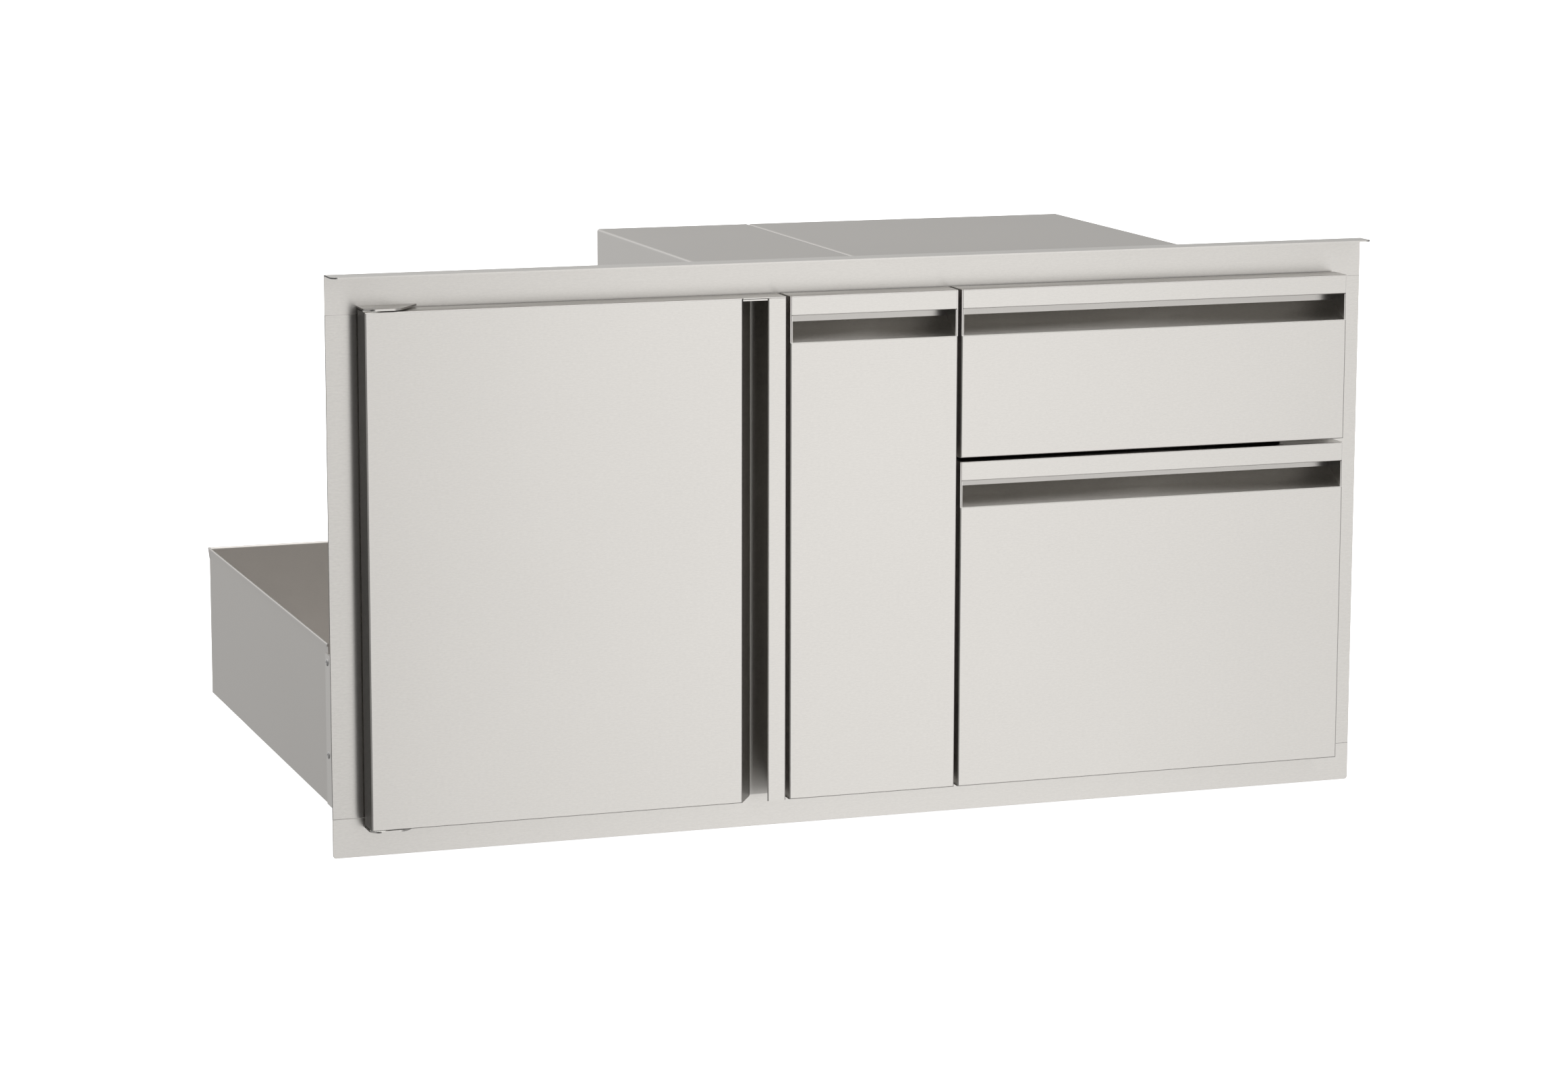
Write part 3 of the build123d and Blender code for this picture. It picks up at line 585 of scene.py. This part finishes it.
# Drawer boxes: four walls with hemmed tops, and a ribbed floor
boxLook = {"sheet": 1.2, "hem": 2.8, "fold": 1.39, "drop": 7.0, "rib": 1.3, "ribWidth": 11.0, "ribs": 4,
           "ribSteps": 13, "ribEnd": 40.0, "ribFade": 14.0, "fadeSteps": 6}


def addBox(name, body, look):
    low, high = corners(name + "_box_walls")
    sheet, hem, fold = look["sheet"], look["hem"], look["fold"]

    # a wall's line goes up its outside, over the hem and down inside it
    def wall(outside, way, start, end, axes):
        inside = outside + way * hem
        line = [(outside, low[2]), (outside, high[2]), (inside, high[2]), (inside, high[2] - look["drop"])]
        return foldedSheet(line, [0, fold, fold, 0], -way * sheet, start, end, axes)

    walls = [wall(low[0], 1, low[1], high[1], "xzy"), wall(high[0], -1, low[1], high[1], "xzy"),
             wall(low[1], 1, low[0] + sheet, high[0] - sheet, "yzx"),
             wall(high[1], -1, low[0] + sheet, high[0] - sheet, "yzx")]
    addPiece(name + "_box", walls, body, "box_steel", stands=[name + "_box_walls"])


# The floor's ribs are raised as smooth bumps across x, and fade out near the floor's two ends
def addBoxFloor(name, body, look):
    low, high = corners(name + "_box_floor")
    middles = np.linspace(low[0], high[0], look["ribs"] + 2)[1:-1]
    first, last, fade = low[1] + look["ribEnd"], high[1] - look["ribEnd"], look["ribFade"]

    def ribs(x, y):
        across = sum(smooth(1 - np.abs(x - middle) / look["ribWidth"]) for middle in middles)
        ends = smooth(np.minimum(y - first, last - y) / fade)
        return high[2] + look["rib"] * across * ends

    band = look["ribWidth"] * np.linspace(-1, 1, look["ribSteps"])
    fading = np.linspace(0, fade, look["fadeSteps"])
    x = np.unique(np.concatenate([middle + band for middle in middles] + [[low[0], high[0]]]))
    y = np.concatenate(([low[1]], first + fading, last - fading[::-1], [high[1]]))
    floor = pressedPanel(x, y, ribs, look["sheet"], "xyz")
    addPiece(name + "_floor", [floor], body, "box_steel", stands=[name + "_box_floor"])


# Screws that hold each drawer's front to its box
frontScrewLook = {"head": 4.0, "rise": 2.2, "margin": 22.0}


def addFrontScrews(name, body, look):
    low, high = corners(name + "_box_walls")
    margin = look["margin"]
    seat = corners(name + "_front_screws")[1][1] - look["rise"]
    screws = [crossScrew((x, seat, z), "xzy", look["head"], look["rise"])
              for x in (low[0] + margin, high[0] - margin) for z in (low[2] + margin, high[2] - margin)]
    addPiece(name + "_screw_heads", screws, body, "fastener_steel", stands=[name + "_front_screws"])


# Bumpers: a short post that ends in a dome, with a foot round its base. The foot, the dome and the tip are
# shares of the post's radius
bumperLook = {"radius": 1.8, "foot": 1.9, "footHeights": (0.0, 0.5, 0.8), "dome": 0.6, "domeSteps": 7,
              "tip": 0.15, "segments": 20}


def addBumpers(node, body, look):
    low, high = corners(node)
    r, length = look["radius"], high[1] - low[1]
    angle = np.linspace(0, np.pi / 2, look["domeSteps"])[:-1]
    foot = r * look["foot"]
    radius = np.concatenate(([foot, foot, r], r * np.cos(angle), [look["tip"] * r]))
    dome = length - r * look["dome"] * (1 - np.sin(angle))
    height = np.concatenate((look["footHeights"], dome, [length]))
    places = [(x, z) for x in sorted({round(low[0] + r, 3), round(high[0] - r, 3)})
              for z in (low[2] + r, high[2] - r)]
    posts = [turned(radius, height, (x, low[1], z), "xzy", look["segments"]) for x, z in places]
    addPiece(node.replace("bumpers", "bumper_posts"), posts, body, "rubber", stands=[node])


# Door's back panel: its middle is pressed in by a shallow step, to stiffen it
doorPanelLook = {"margin": 52.0, "corner": 22.0, "step": 0.7, "run": 5.0, "lead": 2.0, "bandSteps": 22,
                 "sheet": 1.0}


def addDoorPanel(look):
    low, high = corners("door_back_panel")
    centre, half = (low + high) / 2, (high - low) / 2 - look["margin"]
    r = look["corner"]

    # distance inside a rounded rectangle, carried through a smooth step
    def pressed(x, z):
        dx = np.abs(x - centre[0]) - (half[0] - r)
        dz = np.abs(z - centre[2]) - (half[2] - r)
        outside = np.hypot(np.maximum(dx, 0), np.maximum(dz, 0)) + np.minimum(np.maximum(dx, dz), 0) - r
        return high[1] - look["step"] * smooth(-outside / look["run"])

    band = np.linspace(-look["lead"], r + look["run"], look["bandSteps"])

    # grid lines at the panel's two sides, and close together where the step runs
    def stations(a):
        first, last = centre[a] - half[a] + band, centre[a] + half[a] - band
        return np.unique(np.concatenate(([low[a], high[a]], first, last)))

    panel = pressedPanel(stations(0), stations(2), pressed, look["sheet"], "xzy")
    # painted shade: the panel wears the darkened panel steel
    addPiece("door_inner_panel", [panel], "door", "front_steel", shadedPanelSteel, ["door_back_panel"])


# Bend at the foot of the door's slant: a strip that follows the slant, turns on a radius and then lies on
# the door's back panel
pullBendLook = {"slant": 17.2, "radius": 0.6, "sheet": 0.4, "proud": 0.05, "capInset": 1.2, "leg": 4.0}


def addPullBend(look):
    capLow = corners("door_handle_cap")[0]
    panelLow = corners("door_back_panel")[0]
    leg = look["leg"]
    face = panelLow[1] - look["proud"]
    front = corners("door_front")[0][1]
    foot = capLow[0] - look["capInset"] + look["slant"]
    slope = look["slant"] / (face - front)
    line = [(foot - leg * slope, face - leg), (foot, face), (foot + leg, face)]
    strip = foldedSheet(line, [0, look["radius"], 0], look["sheet"], panelLow[2], capLow[2], "xyz", steps=10)
    # painted shade: the strip wears the same darkened panel steel
    addPiece("door_pull_bend", [strip], "door", "front_steel", shadedPanelSteel)


# Magnetic catch: a magnet between two steel pole plates
catchLook = {"pole": 2.4, "poleCorner": 0.4, "recess": 0.6, "ease": 0.3}


def addCatch(look):
    low, high = corners("catch_magnet")
    pole, ease = look["pole"], look["ease"]

    def band(bottom, top):
        return [(low[0], bottom), (high[0], bottom), (high[0], top), (low[0], top)]

    core = plate(band(low[2] + pole, high[2] - pole), 0, low[1] + look["recess"], high[1], "xzy", ease)
    addPiece("catch_core", [core], "cabinet", "magnet", stands=["catch_magnet"])
    poles = [plate(band(z, z + pole), look["poleCorner"], low[1], high[1], "xzy", ease)
             for z in (low[2], high[2] - pole)]
    addPiece("catch_poles", poles, "cabinet", "fastener_steel")


addFaceFrame(frameLook)
addTopRail(lipLook)
addCases(caseLook)
addTubSides(tubSideLook)
addTubBack(tubBackLook)
addRivets(rivetLook)
print("frame, cases and tub made")

drawerBodies = {"pullout": ("pullout", "pullout_runners"), "upper": ("upper_drawer", "upper_runners"),
                "lower": ("lower_drawer", "lower_runners")}
for name, (body, runners) in drawerBodies.items():
    addSlides(name, body, runners, slideLook)
    addBox(name, body, boxLook)
    addBoxFloor(name, body, boxLook)
    addFrontScrews(name, body, frontScrewLook)
    addBumpers(name + "_bumpers", body, bumperLook)
print("drawer boxes, slides and fittings made")
addBumpers("door_bumpers", "door", bumperLook)
addDoorPanel(doorPanelLook)
addPullBend(pullBendLook)
addCatch(catchLook)
print("door panel, bumpers and catch made")

# Camera: solved from the photograph's own edges
cameraView = {"place": (-1.4616, -4.0075, 1.0284), "yaw": -19.026, "pitch": 9.927, "roll": 0.120,
              "lens": 101.41, "sensor": 36.0}


def addCamera(view):
    yaw, pitch, roll = (math.radians(view[turn]) for turn in ("yaw", "pitch", "roll"))
    forward = Vector((-math.sin(yaw) * math.cos(pitch), math.cos(yaw) * math.cos(pitch), -math.sin(pitch)))
    level = Vector((math.cos(yaw), math.sin(yaw), 0.0))
    rise = level.cross(forward)
    right = level * math.cos(roll) + rise * math.sin(roll)
    up = rise * math.cos(roll) - level * math.sin(roll)
    camera = bpy.data.objects.new("camera", bpy.data.cameras.new("camera"))
    camera.data.lens = view["lens"]
    camera.data.sensor_width = view["sensor"]
    camera.data.sensor_fit = "HORIZONTAL"
    aim = Matrix((right, up, -forward)).transposed().to_4x4()
    camera.matrix_world = Matrix.Translation(view["place"]) @ aim
    bpy.context.scene.collection.objects.link(camera)
    bpy.context.scene.camera = camera


addCamera(cameraView)

# Studio: soft cards and dark flags round a grey room, each a lobe about its own direction. A lobe is the
# cosine of the angle from that direction, raised to the power tight
studio = {"room": 0.36, "least": 0.03, "backdrop": 1.05, "colour": (1.0, 0.99, 0.975, 1.0), "cards": [
    {"turn": 20.2, "rise": -6.8, "tight": 42.0, "strength": 1.2},    # front right
    {"turn": -16.0, "rise": -9.0, "tight": 20.0, "strength": -1.3},  # dark flag, front left
    {"turn": 17.0, "rise": 13.0, "tight": 30.0, "strength": 0.42},   # front, higher
    {"turn": 20.0, "rise": -42.0, "tight": 20.0, "strength": 0.85},  # white ground in front
    {"turn": 0.0, "rise": -88.0, "tight": 4.0, "strength": -0.4},    # dark ground below
    {"turn": 0.0, "rise": 88.0, "tight": 3.0, "strength": 1.5},      # overhead
    {"turn": 158.0, "rise": 14.0, "tight": 14.0, "strength": 0.2},   # behind right
    {"turn": -164.0, "rise": 2.0, "tight": 14.0, "strength": 0.42},  # behind
    {"turn": -173.0, "rise": 26.0, "tight": 28.0, "strength": 0.6},  # high behind
]}


def addStudio(look):
    world = bpy.data.worlds.new("studio")
    bpy.context.scene.world = world
    world.use_nodes = True
    sky = Nodes(world.node_tree)
    way = sky.add("ShaderNodeTexCoord", out="Generated")
    glow = look["room"]
    for card in look["cards"]:
        turn, rise = math.radians(card["turn"]), math.radians(card["rise"])
        aim = (math.sin(turn) * math.cos(rise), -math.cos(turn) * math.cos(rise), math.sin(rise))
        toward = sky.add("ShaderNodeVectorMath", {"operation": "DOT_PRODUCT"}, {0: way, 1: aim}, "Value")
        lobe = sky.math("POWER", sky.math("MAXIMUM", toward, 0.0), card["tight"])
        glow = lobe * card["strength"] + glow
    glow = sky.math("MAXIMUM", glow, look["least"])

    # what the camera sees past the object is one even white. The first output says that the camera sees it
    seen = sky.add("ShaderNodeLightPath")
    level = glow * (1.0 - seen) + seen * look["backdrop"]
    light = sky.add("ShaderNodeBackground", None, {"Color": look["colour"], "Strength": level})
    sky.add("ShaderNodeOutputWorld", None, {"Surface": light})


addStudio(studio)

# Floor: a wide pale sheet, left out of reflections
floorLook = {"size": 40.0, "glow": 0.95, "dark": 0.9, "light": 0.94, "mottle": 3.0, "rough": 0.8}


def addFloor(look):
    half = look["size"] / 2
    square = np.array([[-half, -half, 0], [half, -half, 0], [half, half, 0], [-half, half, 0]], np.float32)
    mesh = bpy.data.meshes.new("floor")
    mesh.from_pydata(square, [], [(0, 1, 2, 3)])
    floor = bpy.data.objects.new("floor", mesh)
    bpy.context.scene.collection.objects.link(floor)
    material, mat = newMaterial("pale floor")
    where = mat.add("ShaderNodeTexCoord", out="Object")
    mottle = mat.add("ShaderNodeTexNoise", None, {"Vector": where, "Scale": look["mottle"]})
    tone = mat.mixColour(mottle, (look["dark"],) * 3 + (1.0,), (look["light"],) * 3 + (1.0,))
    shader = mat.add("ShaderNodeBsdfPrincipled", None,
                     {"Base Color": tone, "Roughness": look["rough"],
                      "Emission Color": (1.0, 1.0, 1.0, 1.0), "Emission Strength": look["glow"]})
    mat.add("ShaderNodeOutputMaterial", None, {"Surface": shader})
    mesh.materials.append(material)
    floor.visible_glossy = False


addFloor(floorLook)
bpy.context.scene.view_settings.view_transform = "Standard"

# enough bounces for the narrow gaps between the fronts
bpy.context.scene.cycles.max_bounces = 16
bpy.context.scene.cycles.glossy_bounces = 12
print("camera, light and floor set")
